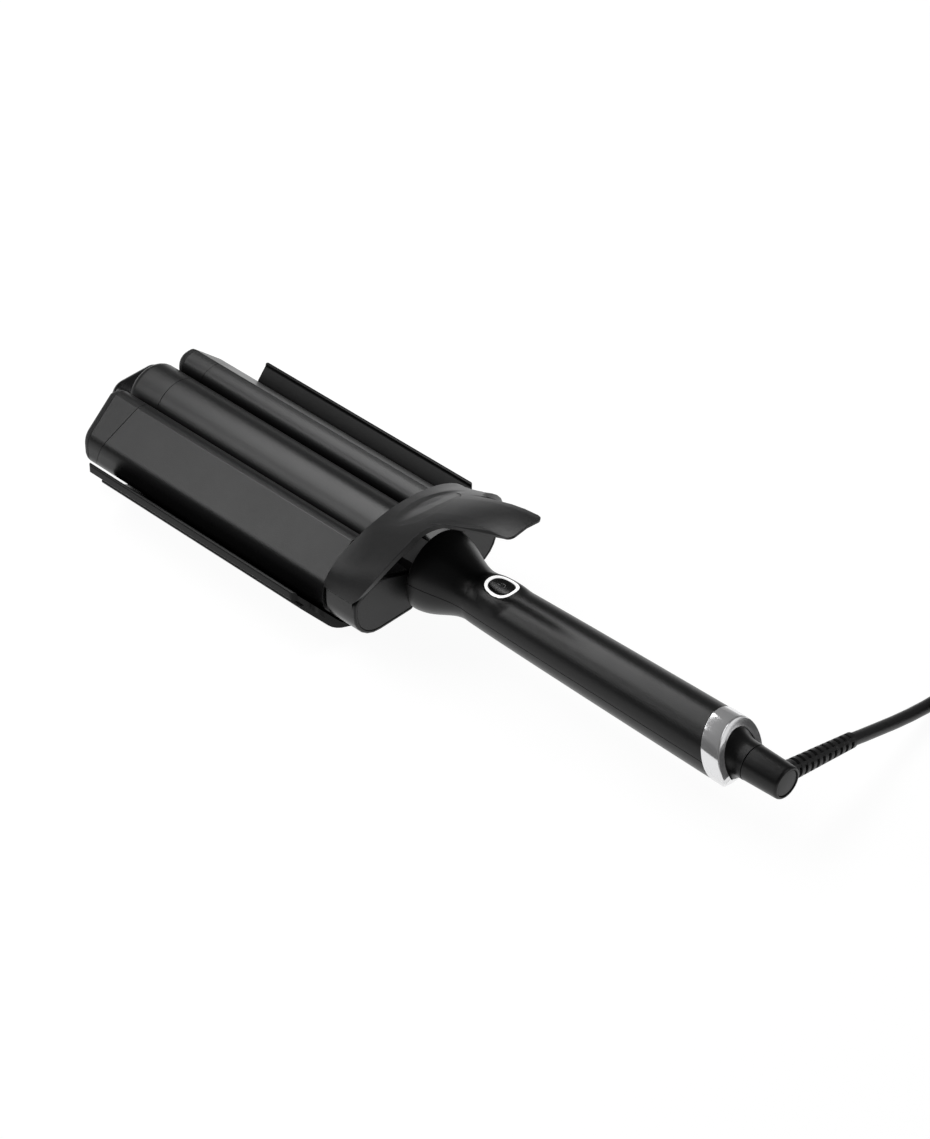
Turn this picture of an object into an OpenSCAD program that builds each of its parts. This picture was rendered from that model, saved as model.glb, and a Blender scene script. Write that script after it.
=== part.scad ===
// Three-barrel hair waver. Two flat-sided outer barrels hang on a sprung lever and close beside a fixed
// round barrel, inside the troughs of a winged plate. X runs along the tool with the tip at -X, Z is up,
// and the origin is under the middle of the tool, on the surface that its flat underside rests on.

/* [Barrels] */
// Heated length of the barrels
barrel_len = 130; // [110:1:150]
// Length of the cool tips
tip_len = 18.5; // [17:0.5:24]
// Rounding of the tips' ends
tip_round = 4; // [2:0.5:5]
// How far the outer barrels' front edges lean forward, per unit of depth
seam_slant = 0.38; // [0:0.01:0.38]
// Radius of the centre barrel
barrel_r = 13.8; // [12.8:0.1:14.4]
// Height of the centre barrel's axis above the handle's axis
barrel_z = 2; // [0:0.5:4]
// Wall of the barrels
barrel_wall = 1.6; // [1.2:0.1:2.2]
// Gap between the centre barrel and each outer barrel
barrel_gap = 0.8; // [0.5:0.1:1.5]
// Width of an outer barrel
lobe_w = 25.5; // [23:0.5:28]
// Top of the outer barrels above the handle's axis
lobe_top = 13.8; // [12:0.2:15]
// Bottom of the outer barrels below the handle's axis
lobe_low = 21.5; // [20:0.5:23]
// Rounding of an outer barrel's inner top edge
lobe_round = 6.5; // [5:0.5:6.5]
// Distance of the crease from an outer barrel's inner side
crease_in = 8.7; // [8.2:0.1:9.2]
// Slope of the flat outer face, from level
facet_slope = 41; // [36:1:44]
// Slope of the lower flank, from level
flank_slope = 49; // [45:1:54]
// Width of a heater bar
heater_w = 12; // [9:0.5:13]
// Thickness of a heater bar
heater_t = 3; // [2:0.5:4]
// Clear length at each end of a heater bar
heater_back = 12; // [8:1:20]

/* [Winged plate] */
// Length of the plate at its full width
wing_len = 126; // [105:1:128]
// Height of the wings' edges above the handle's axis
wing_top = 0; // [-2:0.5:3]
// Thickness of the plate
plate_t = 2; // [1.5:0.1:2.4]
// Height of the lip along each wing
lip_h = 4.2; // [3:0.2:5]
// Gap between the closed outer barrels and the plate
hair_gap = 1; // [0.6:0.1:1.6]
// Thickness of the cover under the plate
cover_t = 2; // [1.5:0.1:3]
// Thickness of the end piece in front of the tips
nose_t = 10.4; // [7:0.1:12]
// Top of the end piece above the handle's axis
nose_top = 7; // [4:0.5:9]

/* [Hinge] */
// Distance of the hinge pin behind the heated barrels
pivot_back = 11.5; // [11:0.1:12]
// Depth of the hinge pin below the handle's axis
pivot_low = 8; // [7:0.5:9]
// Diameter of the hinge pin
pin_d = 5; // [4:0.1:5.4]
// Radial running clearance of the pins
run_fit = 0.05; // [0.02:0.01:0.1]
// Thickness of the spacer behind each outer barrel
spacer_t = 3.4; // [2.5:0.1:4]
// Length of a hinge housing
pod_len = 16.4; // [15:0.1:18]
// Thickness of a hinge housing's rear cover
pod_cover_t = 1.6; // [1:0.1:2.5]
// Half the width of the frame between the housings
spine_half = 7.2; // [6:0.1:7.4]
// Wire of the closing springs
spring_wire = 1.4; // [1:0.1:1.5]

/* [Lever] */
// Height of the lever's crown above its feet at the front edge
arch_h = 22.8; // [21:0.2:26]
// Distance of the lever's end behind the hinge pin
tongue_reach = 63.5; // [56:0.5:66]
// Width of the thumb rest at its end
tongue_w = 19; // [14:0.2:22]
// Rise of the thumb rest from the crown to its end
tongue_rise = 24.8; // [20:0.1:28]
// Thickness of the lever
lever_t = 2.4; // [2:0.1:3]
// Thickness of the thumb rest at its end
tongue_t = 1.3; // [1:0.1:2]
// Depth of the hollow in the crown
hollow_d = 0.9; // [0:0.1:1.2]

/* [Handle] */
// Gap between the hinge housings and the handle
neck_gap = 5.2; // [4.5:0.1:8]
// Length of the handle's shells at the axis
handle_len = 154.1; // [130:0.1:175]
// Radius of the handle's front rim
neck_r = 18.2; // [17:0.1:19]
// Radius of the handle's waist
waist_r = 11.2; // [11:0.1:13]
// Radius of the handle's rear end
grip_r = 13.6; // [13.2:0.1:15]
// Wall of the shells
shell_wall = 2.2; // [1.8:0.1:2.6]
// Width of the seam between the shells
seam = 0.2; // [0.1:0.05:0.3]
// Length of the bright ring at the axis
ring_len = 9.3; // [9:0.1:14]
// How far the ring's front edge leans forward, per unit of height
ring_slant = 0.38; // [0:0.01:0.45]
// How far the ring's rear edge leans forward, per unit of height
ring_rake = 0.45; // [0:0.01:0.5]
// Angle by which both slants are turned to the far side
ring_turn = 17; // [0:1:20]

/* [Power button] */
// Distance of the button's middle behind the handle's front
button_back = 36.4; // [33:0.2:60]
// Length over the light ring
button_l = 14; // [12:0.2:16]
// Width over the light ring
button_w = 12.3; // [11:0.1:13]
// Width of the light ring's band
light_band = 1.3; // [1:0.1:1.6]
// Radius to which the button's face is rounded across
button_crown = 20; // [14:1:30]
// Travel of the button
button_travel = 0.8; // [0.4:0.1:1]

/* [Cord swivel] */
// Length of the fixed socket behind its foot
socket_len = 8; // [6:0.1:12]
// Depth of the socket's foot in the ring, at the axis
socket_sink = 2; // [2:0.1:4]
// Radius of the socket's foot
socket_r = 9.8; // [9:0.1:11]
// Length of the turning sleeve
sleeve_len = 17.1; // [17:0.1:24]
// Radius of the sleeve's front end
sleeve_r = 7.6; // [7.2:0.1:8.4]
// Radius of the spindle in the socket
spindle_r = 4; // [3.5:0.1:4.4]
// Diameter of the cord
cord_d = 5.5; // [5:0.1:5.5]
// Length of the strain relief
relief_len = 46; // [30:1:60]

/* [Hidden] */
$fn = 64;
touch = 0.1;      // gap between pieces that only bear on each other
far = 60;         // reach of cuts and of what they cut, past the pieces
pivot_x = barrel_len + pivot_back;
pod_x = barrel_len + spacer_t;
pod_end = pod_x + pod_len;
pod_step = pivot_x - pin_d / 2 - 1.5;         // front of the housings beside the centre barrel
collar_end = barrel_len + 3;
frame_step = barrel_len + 1;
neck_x = pod_end + neck_gap;
grip_end = neck_x + handle_len;
ring_end = grip_end + ring_len;
foot_x = ring_end - socket_sink;
flange_end = foot_x - 4;
socket_end = foot_x + socket_len;
sleeve_x = socket_end + 0.2;
sleeve_end = sleeve_x + sleeve_len;
nose_x = -tip_len - 0.8;
nose_end = nose_x - nose_t;

// Outline of an outer barrel, as [Y, Z] corners with their rounding
lobe_in = barrel_r + barrel_gap;
lobe_out = lobe_in + lobe_w;
crease_y = lobe_in + crease_in;
facet_foot = lobe_top - (lobe_out - crease_y) * tan(facet_slope);
flank_z = facet_foot - 10.7;
lobe = [[lobe_in, -lobe_low, 7], [flank_y(-lobe_low, 0), -lobe_low, 6], [lobe_out, flank_z, 7],
    [lobe_out, facet_foot, 9], [crease_y, lobe_top, 0.5], [lobe_in, lobe_top, lobe_round]];
lobe_mid = [lobe_in + lobe_w / 2, (lobe_top - lobe_low) / 2];
cap_x = tip_round + 0.5 - tip_len;            // joint between an outer cool tip and its cap

// The plate's flanks run along those of the outer barrels, the hair gap away
trough_z = -lobe_low - hair_gap;
plate_z = trough_z - plate_t;
base_z = plate_z - cover_t;
plate_gap = hair_gap + plate_t;
cover_gap = plate_gap + cover_t;
lip_t = 1.6;
wing_half = flank_y(wing_top, hair_gap) + 0.6;
tail_half = lobe_out + 2.4;
tail_in = 26;
tail_x = barrel_len + 8;
wall_y = barrel_r + 0.1;
wall_in = wall_y - plate_t;
wall_top = barrel_z - sqrt(pow(barrel_r, 2) - pow(wall_in - 0.3, 2)) - 0.3;
cover_top = -9;
cover_y = flank_y(cover_top, cover_gap);
plate_half = [[flank_y(plate_z, plate_gap), plate_z, 8],
    [flank_y(wing_top - lip_h, plate_gap), wing_top - lip_h, 0.3], [wing_half, wing_top - lip_h, 0.7],
    [wing_half, wing_top, 0.7], [wing_half - lip_t, wing_top, 0.6],
    [wing_half - lip_t, flank_z + (wing_half - lip_t - flank_y(flank_z, hair_gap)) * tan(flank_slope), 1.5],
    [flank_y(trough_z, hair_gap), trough_z, 7], [wall_y, trough_z, 6], [wall_y, wall_top, 0.6],
    [wall_in, wall_top, 0.6], [wall_in, trough_z, 0]];
plate_plan = [[wing_len, wing_half, 3.5], [wing_len + 0.8, tail_half, 1.5], [barrel_len + 1, tail_half, 2.5],
    [barrel_len + 4, tail_in + 2, 6], [tail_x, tail_in, 5]];
cover_half = [[flank_y(base_z, cover_gap), base_z, 10], [cover_y, cover_top, 1],
    [flank_y(cover_top, plate_gap), cover_top, 0.4], [flank_y(plate_z, plate_gap), plate_z, 8]];
cover_plan = [[3, wing_half, 4], [wing_len - 3, wing_half, 6], [barrel_len + 3, tail_in, 8],
    [tail_x + 1, tail_in - 3, 8]];
screw_first = 8;
screw_step = (barrel_len - 2 * screw_first + 2) / 3;
screw_at = [for (k = [0:3]) screw_first + screw_step * k];
screw_len = 10;
nose = both_sides([[16, trough_z, 7], [19, -6, 10], [11.5, nose_top, 7]]);

// Hinge housings: the lever's feet stand on a ledge along their outer sides
pod_in = spine_half + 0.5;
pod_out = lobe_out + 1.2;
pod_top = 1.4;
pod_low = lobe_low - 2.6;
ledge = pod_out - lever_t - 0.3;
pod = [[pod_in, -pod_low, 2.2], [pod_out, -pod_low, 14], [pod_out, pod_top, 0.4], [ledge, pod_top, 0],
    [ledge, pod_top + 1.7, 0.5], [27, pod_top + 6.8, 14], [pod_in, pod_top, 5]];
pod_face = [[pod_in, -pod_low, 2.2], [pod_out, -pod_low, 14], [pod_out, pod_top + 0.6, 5],
    [27, pod_top + 6.8, 14], [pod_in, pod_top, 5]];
pod_rim = 1.3;
pod_screw_at = [[16, -15], [34, -4]];
pod_screw_len = 8.5;
pin_reach = pod_out - 5;
spring_r = 4.4;
spring_turns = 3;
spring_y = spine_half + 0.3;
spring_pitch = spring_wire + 0.45;
spring_room = spring_pitch * spring_turns + spring_wire;
pocket_r = spring_r + spring_wire;

// Lever, from its feet to the thumb rest
foot_z = pod_top + touch;
arch_half = pod_out;
arch_power = 1.9;         // an oval across: 2 would be an ellipse
crown_x = pod_x + 2.1;    // front edge at the crown
foot_back = pod_end - pod_cover_t - touch;
tongue_end = pivot_x + tongue_reach;
root = [crown_x + 28.9, 13.3];
hollow_half = 16;
hollow_from = crown_x + 2.5;
hollow_len = 22.5;

// Handle
flare_len = 25;
seam_rise = 3;
button_x = neck_x + button_back;
button_r = grip_r_at(button_back + button_l / 2) + 0.1;
egg = rounded([[-button_l / 2, -button_w * 0.47, 5.4], [button_l / 2, -button_w / 2, 3.6],
    [button_l / 2, button_w / 2, 3.6], [-button_l / 2, button_w * 0.47, 5.4]], 6);
cavity_end_r = grip_r - shell_wall - 0.15;
ring_r = grip_r + 0.2;
board_z = -3;
board_t = 1.6;
board_x = button_x - 12;
board_l = 60;
board_w = 15;
board_holes = [board_x + 4, board_x + board_l - 4];
board_screw_r = 1;
switch_top = 3;
skirt_z = 6.2;
straight_from = handle_len - ring_slant * grip_r - 1;
grip_stations = concat([for (k = [0:9]) flare_len * k / 10],
    [for (k = [0:10]) flare_len + (straight_from - flare_len) * pow(k / 10, 1.5)]);

// Cord swivel
cap_r = sleeve_r - 1.9;
root_r = 3.7;
relief_x = sleeve_x + 11.4;
relief_tilt = 12;
relief_from = 9;
relief_ribs = 10;
flange_r = 6.2;

// Cord, in the finished frame: round points picked along its way to the floor
mid_x = (sleeve_end + nose_end) / 2;
relief_end = [relief_x - mid_x, relief_len * cos(relief_tilt), -base_z - relief_len * sin(relief_tilt)];
cord_route = [relief_end, [180, 52, 14.8], [180, 62, 12], [180, 72, 9.2], [180, 82, 6.8],
    [180, 92, 4.9], [180, 102, 3.6], [180, 112, 2.9], [180, 120, 2.75], [180, 126.5, 2.75]];
// Coil: its turns wind in and out again in four layers
coil_in = [180, 132, 2.75];
coil_r = 40;
coil_turns = 13.5;
coil_pitch = 6;
coil_flips = [3.25, 6.75, 10.25];
coil_steps = 24;
coil_mid = [coil_in.x + coil_r, coil_in.y];
coil_out = coil_at(coil_turns);
coil_points = [for (i = [0:coil_steps * coil_turns]) coil_at(i / coil_steps)];
coil_path = concat([coil_in - [0, cord_d, 0]], coil_points, [coil_out - [0, cord_d, 0]]);
coil_gap = min([for (i = [0:len(coil_points) - 1], j = [i + 8:1:len(coil_points) - 1])
    norm(coil_points[i] - coil_points[j])]) - cord_d;
tail_route = [coil_out - [0, cord_d, 0], coil_out + [0, -14, -0.6], coil_out + [0, -24, -3.4],
    coil_out + [0, -32, -5.8], [coil_out.x, coil_out.y - 40, 13.2]];
plug_at = tail_route[len(tail_route) - 1];
plug_w = 33;
plug_h = 2 * plug_at.z - 0.4;
plug_len = 54;
plug_rings = [[0, 9, 9], [16, 11, 11], [20, 16, 14], [26, 27, 21], [34, plug_w - 1, plug_h - 1],
    [40, plug_w, plug_h], [plug_len - 2, plug_w, plug_h], [plug_len, plug_w - 3, plug_h - 3]];

function unit(v) = v / norm(v);
function turned(a) = a > 180 ? a - 360 : a < -180 ? a + 360 : a;
function flat(q) = [q.x, q.y];

// Points of an arc of radius r that rounds corner p between its neighbours a and b
function corner(a, p, b, r, n) =
    let (u = unit(a - p), v = unit(b - p), half = acos(max(-1, min(1, u * v))) / 2,
        c = p + unit(u + v) * r / sin(half), s = p + u * r / tan(half) - c, e = p + v * r / tan(half) - c,
        a0 = atan2(s.y, s.x), da = turned(atan2(e.y, e.x) - a0))
    [for (i = [0:n]) c + r * [cos(a0 + da * i / n), sin(a0 + da * i / n)]];

// A polygon from corners [x, y, radius], each rounded in n steps
function rounded(q, n = 6) = [for (i = [0:len(q) - 1])
    let (k = len(q), a = q[(i + k - 1) % k], p = q[i], b = q[(i + 1) % k])
    each (p[2] > 0 ? corner(flat(a), flat(p), flat(b), p[2], n) : [flat(p)])];

// An outline, wound anticlockwise, moved in by d
function inset(p, d) = [for (i = [0:len(p) - 1])
    let (k = len(p), a = unit(p[i] - p[(i + k - 1) % k]), b = unit(p[(i + 1) % k] - p[i]),
        m = [a.y, -a.x], n = [b.y, -b.x])
    p[i] - (m + n) * d / (1 + m * n)];

// The same for corners with their rounding, which shrinks along
function shrunk(q, d) = let (p = inset([for (c = q) flat(c)], d))
    [for (i = [0:len(q) - 1]) [p[i].x, p[i].y, max(0.4, q[i][2] - d)]];

// Corners of one side, in [Y, Z], followed by their mirror image
function both_sides(h) = concat(h, [for (i = [len(h) - 1:-1:0]) [-h[i].x, h[i].y, h[i].z]]);
// The same for a plan in [X, Y]
function both_ends(h) = concat([for (q = h) [q.x, -q.y, q.z]], [for (i = [len(h) - 1:-1:0]) h[i]]);

// Y of the line a gap g outside the outer barrel's lower flank, at height z
function flank_y(z, g) = lobe_out + (z - flank_z) / tan(flank_slope) + g / sin(flank_slope);

function grip_r_at(x) = x < flare_len
    ? waist_r + (neck_r - waist_r) * (1 + cos(180 * x / flare_len)) / 2
    : waist_r + (grip_r - waist_r) * pow((x - flare_len) / (handle_len - flare_len), 0.65);
function seam_z(x) = x < flare_len ? seam_rise * (1 + cos(180 * x / flare_len)) / 2 : 0;

module place() translate([-mid_x, 0, -base_z]) children();
// A flat outline in [Y, Z], drawn out along X from x0 to x1
module bar(x0, x1) translate([x0, 0, 0]) rotate([90, 0, 90]) linear_extrude(x1 - x0) children();
// A flat outline in [X, Z], drawn out along Y to both sides
module across(w) rotate([90, 0, 0]) linear_extrude(w, center = true) children();
// A profile of [radius, X] turned about the tool's axis
module turned_part(p) rotate([0, 90, 0]) rotate_extrude() polygon(p);
module rod_x(r, x0, x1, y = 0, z = 0) translate([x0, y, z]) rotate([0, 90, 0]) cylinder(r = r, h = x1 - x0);
module rod_y(r, y0, y1) translate([pivot_x, y0, -pivot_low]) rotate([-90, 0, 0]) cylinder(r = r, h = y1 - y0);
module other_side() mirror([0, 1, 0]) children();

// All that lies in front of, or behind, a plane that crosses the tool's axis at x and leans forward
module in_front(x, lean) across(2 * far) polygon([[x + lean * far, -far], [x - lean * far, far],
    [x - 4 * far, far], [x - 4 * far, -far]]);
module behind(x, lean) across(2 * far) polygon([[x + lean * far, -far], [x + 4 * far, -far],
    [x + 4 * far, far], [x - lean * far, far]]);

// A solid through rings of points, each wound anticlockwise about the way they go
module skin(rings) {
    n = len(rings[0]);
    m = len(rings);
    polyhedron([for (r = rings) each r], concat(
        [[for (i = [0:n - 1]) i]],
        [for (j = [0:m - 2], i = [0:n - 1])
            let (a = j * n + i, b = j * n + (i + 1) % n) each [[a, a + n, b + n], [a, b + n, b]]],
        [[for (i = [n - 1:-1:0]) (m - 1) * n + i]]));
}
function at_x(p, x) = [for (q = p) [x, q.x, q.y]];

// Corners drawn out along X with the end at x1 rounded by r
module domed(q, x0, x1, r, n = 5) skin(concat([at_x(rounded(q), x0)],
    [for (k = [0:n]) at_x(rounded(shrunk(q, r * (1 - cos(90 * k / n)))), x1 - r + r * sin(90 * k / n))]));
// The same, with the rounded end at x0
module domed_front(q, x0, x1, r, n = 5) skin(concat([for (k = [n:-1:0])
    at_x(rounded(shrunk(q, r * (1 - cos(90 * k / n)))), x0 + r - r * sin(90 * k / n))],
    [at_x(rounded(q), x1)]));

// A tube of n sides round points p, with its end rings square to the directions d0 and d1
module tube(p, d, n, d0, d1) {
    last = len(p) - 1;
    skin([for (i = [0:last])
        let (t = unit(i == 0 ? d0 : i == last ? d1 : p[i + 1] - p[i - 1]),
            u = unit(cross([0, 0, 1], t)), v = cross(t, u))
        [for (k = [0:n - 1]) p[i] + d / 2 * (u * cos(360 * (k + 0.5) / n) + v * sin(360 * (k + 0.5) / n))]]);
}

// ---- fixed jaw ----
module jaw_frame() color("dimgray") difference() {
    union() {
        bar(nose_x + touch, frame_step) polygon([[touch - wall_in, trough_z], [wall_in - touch, trough_z],
            [wall_in - touch, barrel_z - 5], [touch - wall_in, barrel_z - 5]]);
        across(2 * spine_half) polygon([[frame_step - 1, trough_z], [tail_x, trough_z], [pod_end, -17],
            [neck_x + 2, -14], [neck_x + 2, 6], [pod_end + 3, 3.5], [collar_end + 0.2, 3.5],
            [collar_end + 0.2, -9], [frame_step - 1, -9]]);
        rod_x(grip_r_at(4.7) - shell_wall - 0.15, neck_x + 1.6, neck_x + 4.6);
        rod_x(7, neck_x + 4, neck_x + 20);
    }
    rod_x(barrel_r + touch, nose_x, collar_end + 0.2, 0, barrel_z);
    rod_y(pin_d / 2, -spine_half - 1, spine_half + 1);
    rod_x(2.5, barrel_len - 5, neck_x + 21, 0, -1);
    for (x = screw_at) translate([x, 0, trough_z - 1]) cylinder(r = 1.3, h = 9);
}
module hinge_pin() color("silver") rod_y(pin_d / 2, -pin_reach, pin_reach);

module jaw_plate() color("black") difference() {
    intersection() {
        bar(0, tail_x) polygon(rounded(both_sides(plate_half), 4));
        translate([0, 0, plate_z - 1]) linear_extrude(far)
            polygon(rounded(both_ends(concat([[0, wing_half, 1.5]], plate_plan)), 4));
    }
    translate([frame_step, -wall_y - 6, trough_z]) cube([far, 2 * wall_y + 12, far]);
    for (x = screw_at) translate([x, 0, plate_z - 1]) cylinder(r = 1.4, h = 5);
}
module jaw_cover() color("dimgray") difference() {
    intersection() {
        bar(3, tail_x + 1) polygon(rounded(both_sides(cover_half), 4));
        translate([0, 0, base_z - 1]) linear_extrude(far) polygon(rounded(both_ends(cover_plan), 4));
    }
    for (x = screw_at) translate([x, 0, base_z - 1]) {
        cylinder(r = 1.4, h = 5);
        cylinder(r = 2.6, h = 2.4);
    }
}
module jaw_screws() color("gray") for (x = screw_at) translate([x, 0, base_z + 0.3]) {
    cylinder(r = 2.4, h = 1.1);
    cylinder(r = 1.25, h = screw_len);
}

// The inside of a barrel, less a slotted web round c that holds the heater bar
module barrel_hollow(c) {
    difference() {
        children();
        translate(c) square([heater_w + 4, heater_t + 4], center = true);
        translate(c) square([2.4, far], center = true);
    }
    translate(c) square([heater_w + 0.3, heater_t + 0.3], center = true);
}
module centre_barrel() color([0.16, 0.16, 0.17]) bar(0, barrel_len) translate([0, barrel_z]) difference() {
    circle(barrel_r);
    barrel_hollow([0, 0]) circle(barrel_r - barrel_wall);
}
module heater(c) bar(heater_back, barrel_len - heater_back) translate(c) square([heater_w, heater_t], center = true);
module centre_heater() color("ivory") heater([0, barrel_z]);
module centre_cool_tip() color([0.1, 0.1, 0.1]) translate([0, 0, barrel_z]) turned_part(concat(
    [[0, -touch], [0, nose_x]], [for (k = [0:6]) [barrel_r - tip_round * (1 - sin(15 * k)),
        nose_x + tip_round * (1 - cos(15 * k))]], [[barrel_r, -touch]]));
module centre_collar() color("black") difference() {
    rod_x(barrel_r - 0.6, barrel_len, collar_end, 0, barrel_z);
    rod_x(2.5, barrel_len - 1, collar_end + 1, 0, -1);
}
module jaw_nose() color([0.1, 0.1, 0.1]) domed_front(nose, nose_end, nose_x, 3.5);

// ---- handle ----
module grip_solid(d, x0, x1) turned_part(concat([[0, neck_x + x0], [grip_r_at(0) - d, neck_x + x0]],
    [for (x = grip_stations) [grip_r_at(x) - d, neck_x + x]],
    [[grip_r - d, grip_end + x1], [0, grip_end + x1]]));
module seam_cut(side) across(far) polygon(concat(
    [for (x = concat([-2], grip_stations, [handle_len + far])) [neck_x + x, seam_z(x) + side * seam / 2]],
    [[grip_end + far, side * far], [neck_x - 2, side * far]]));
module half_shell(side) difference() {
    intersection() {
        grip_solid(0, 0, 9);
        seam_cut(side);
        ring_cut() in_front(grip_end, ring_slant);
    }
    grip_solid(shell_wall, -1, 10);
}
module egg_prism(d, z0, z1) translate([button_x, 0, z0]) linear_extrude(z1 - z0) polygon(inset(egg, d));
module handle_upper_shell() color([0.12, 0.12, 0.12]) difference() {
    half_shell(1);
    egg_prism(0, 4, 20);
}
module handle_lower_shell() color([0.12, 0.12, 0.12]) {
    half_shell(-1);
    for (x = board_holes) difference() {
        translate([x, 0, shell_wall / 2 - grip_r_at(x - neck_x)])
            cylinder(r = 2.6, h = grip_r_at(x - neck_x) - shell_wall / 2 + board_z);
        translate([x, 0, board_z - 5]) cylinder(r = board_screw_r, h = 6);
    }
}
module circuit_board() color("darkgreen") difference() {
    union() {
        translate([board_x, -board_w / 2, board_z]) cube([board_l, board_w, board_t]);
        for (k = [0:3]) translate([button_x + 10 + 8 * k, -3, board_z + board_t - 0.1])
            cube([5, 4 + k % 2, 1.1 + k % 2]);
    }
    for (x = board_holes) translate([x, 0, board_z - 1]) cylinder(r = board_screw_r + 0.15, h = 4);
}
module board_screws() color("silver") for (x = board_holes) translate([x, 0, board_z + board_t]) {
    cylinder(r = 1.9, h = 1.2);
    translate([0, 0, -5.5]) cylinder(r = board_screw_r, h = 5.6);
}
module button_switch() color("silver") translate([button_x, 0, board_z + board_t]) {
    translate([-3, -3, 0]) cube([6, 6, 3.4]);
    cylinder(r = 1.6, h = switch_top - board_z - board_t);
}
// All that lies deeper than d under the button's face
module button_face(d) rod_x(button_crown, button_x - far, button_x + far, 0, button_r - d - button_crown);
module power_button() color([0.12, 0.12, 0.13]) {
    intersection() {
        egg_prism(light_band + 0.2, skirt_z, 20);
        button_face(0.3);
    }
    egg_prism(light_band - 0.3, skirt_z, skirt_z + 1);
    translate([button_x, 0, switch_top + button_travel + 0.15])
        cylinder(r = 1.6, h = skirt_z - switch_top - button_travel);
}
module light_ring() color("white") difference() {
    intersection() {
        egg_prism(touch, 6, 20);
        button_face(0);
    }
    egg_prism(light_band, 5, 21);
    button_face(1.6);
}
module ring_cut() rotate([-ring_turn, 0, 0]) children();
module contact_block() color("peru") difference() {
    rod_x(cavity_end_r - 0.5, foot_x - 28, foot_x - 20);
    rod_x(3, foot_x - 29, foot_x - 19);
}
module end_ring() color("silver") difference() {
    rod_x(ring_r, grip_end - ring_r, ring_end + ring_r);
    ring_cut() in_front(grip_end + touch, ring_slant);
    ring_cut() behind(ring_end, ring_rake);
    rod_x(cavity_end_r, grip_end - far, flange_end + touch);
    rod_x(socket_r + touch, grip_end, ring_end + far);
}
module swivel_socket() color([0.08, 0.08, 0.08]) turned_part([[2.5, foot_x - 18],
    [cavity_end_r - touch, foot_x - 18], [cavity_end_r - touch, flange_end], [socket_r, flange_end],
    [socket_r, foot_x + 0.5], [socket_r - 0.9, foot_x + 2], [sleeve_r + 0.25, foot_x + 4],
    [sleeve_r + 0.1, socket_end], [spindle_r + run_fit, socket_end], [spindle_r + run_fit, foot_x - 2],
    [flange_r + 0.3, foot_x - 2], [flange_r + 0.3, foot_x - 8], [2.5, foot_x - 8]]);

// ---- moving jaw ----
module left_barrel() color([0.16, 0.16, 0.17]) intersection() {
    bar(-tip_len, barrel_len) difference() {
        polygon(rounded(lobe));
        barrel_hollow(lobe_mid) polygon(rounded(shrunk(lobe, barrel_wall)));
    }
    behind(seam_slant * -lobe_top + touch, -seam_slant);
}
module left_heater() color("ivory") heater(lobe_mid);
module left_cool_tip() color([0.1, 0.1, 0.1]) intersection() {
    bar(cap_x, 1) polygon(rounded(lobe));
    in_front(seam_slant * -lobe_top, -seam_slant);
}
module left_tip_cap() color([0.08, 0.08, 0.08]) domed_front(lobe, -tip_len, cap_x, tip_round);
module left_spacer() color("black") bar(barrel_len, pod_x) polygon(rounded(shrunk(lobe, 1.3)));
module left_pod() color([0.12, 0.12, 0.12]) difference() {
    union() {
        bar(pod_x, pod_end - pod_cover_t) polygon(rounded(pod));
        domed(pod_face, pod_end - pod_cover_t, pod_end, 0.9, 3);
    }
    translate([pod_x - 1, 0, -far]) cube([pod_step - pod_x + 1, lobe_in, 2 * far]);
    bar(pod_end - pod_cover_t, pod_end + 1) polygon(rounded(shrunk(pod_face, pod_rim)));
    rod_y(pin_d / 2 + run_fit, 0, pin_reach + 0.3);
    rod_y(pocket_r, 0, spring_y + spring_room + 0.4);
    for (p = pod_screw_at) rod_x(1.05, pod_end - pod_screw_len - 0.5, pod_end, p.x, p.y);
}
module pod_screws() color("gray") for (p = pod_screw_at, s = [-1, 1])
    rod_x(1, pod_end - pod_screw_len, pod_end - pod_cover_t, s * p.x, p.y);
module left_pod_cover() color([0.14, 0.14, 0.14])
    domed(shrunk(pod_face, pod_rim + touch), pod_end - pod_cover_t, pod_end - touch, 0.4, 2);
module closing_springs() color("silver") for (s = [0, 1]) mirror([0, s, 0])
    translate([pivot_x, spring_y + spring_wire / 2, -pivot_low]) spring();
module spring() {
    n = 10;
    skin([for (i = [0:n * spring_turns])
        let (a = 360 * i / n, c = [spring_r * cos(a), spring_pitch * i / n, spring_r * sin(a)],
            t = unit([-sin(a), spring_pitch / (2 * PI * spring_r), cos(a)]),
            u = unit([cos(a), 0, sin(a)]), v = cross(t, u))
        [for (k = [0:5]) c + spring_wire / 2 * (u * cos(60 * k) + v * sin(60 * k))]]);
}

// The lever is an oval across, whose height is 1 at the crown and 0 at the feet. Its columns of points,
// as [rear end X, Y, that height], go round its rear edge: a foot, the fillet and the thumb rest.
function oval(y) = pow(max(0, 1 - pow(abs(y) / arch_half, arch_power)), 1 / arch_power);
function side_column(a) = let (c = pow(sin(a), 2 / arch_power))
    [foot_back + 17.3 * pow(c, 0.85), arch_half * pow(cos(a), 2 / arch_power), c];
side_columns = [for (a = [0, 5, 11, 18, 26, 34, 43, 52]) side_column(a)];
side_end = flat(side_columns[len(side_columns) - 1]);
rest_corner = [tongue_end, tongue_w / 2];
rest_edge = concat(corner(side_end, root, rest_corner, 10, 6),
    corner(root, rest_corner, [tongue_end, 0], 3.5, 5), [[tongue_end, 0]]);
half_columns = concat(side_columns, [for (p = rest_edge) [p.x, p.y, oval(p.y)]]);
columns = both_ways(half_columns);
function both_ways(h) = concat(h, [for (i = [len(h) - 2:-1:0]) [h[i].x, -h[i].y, h[i].z]]);

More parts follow.
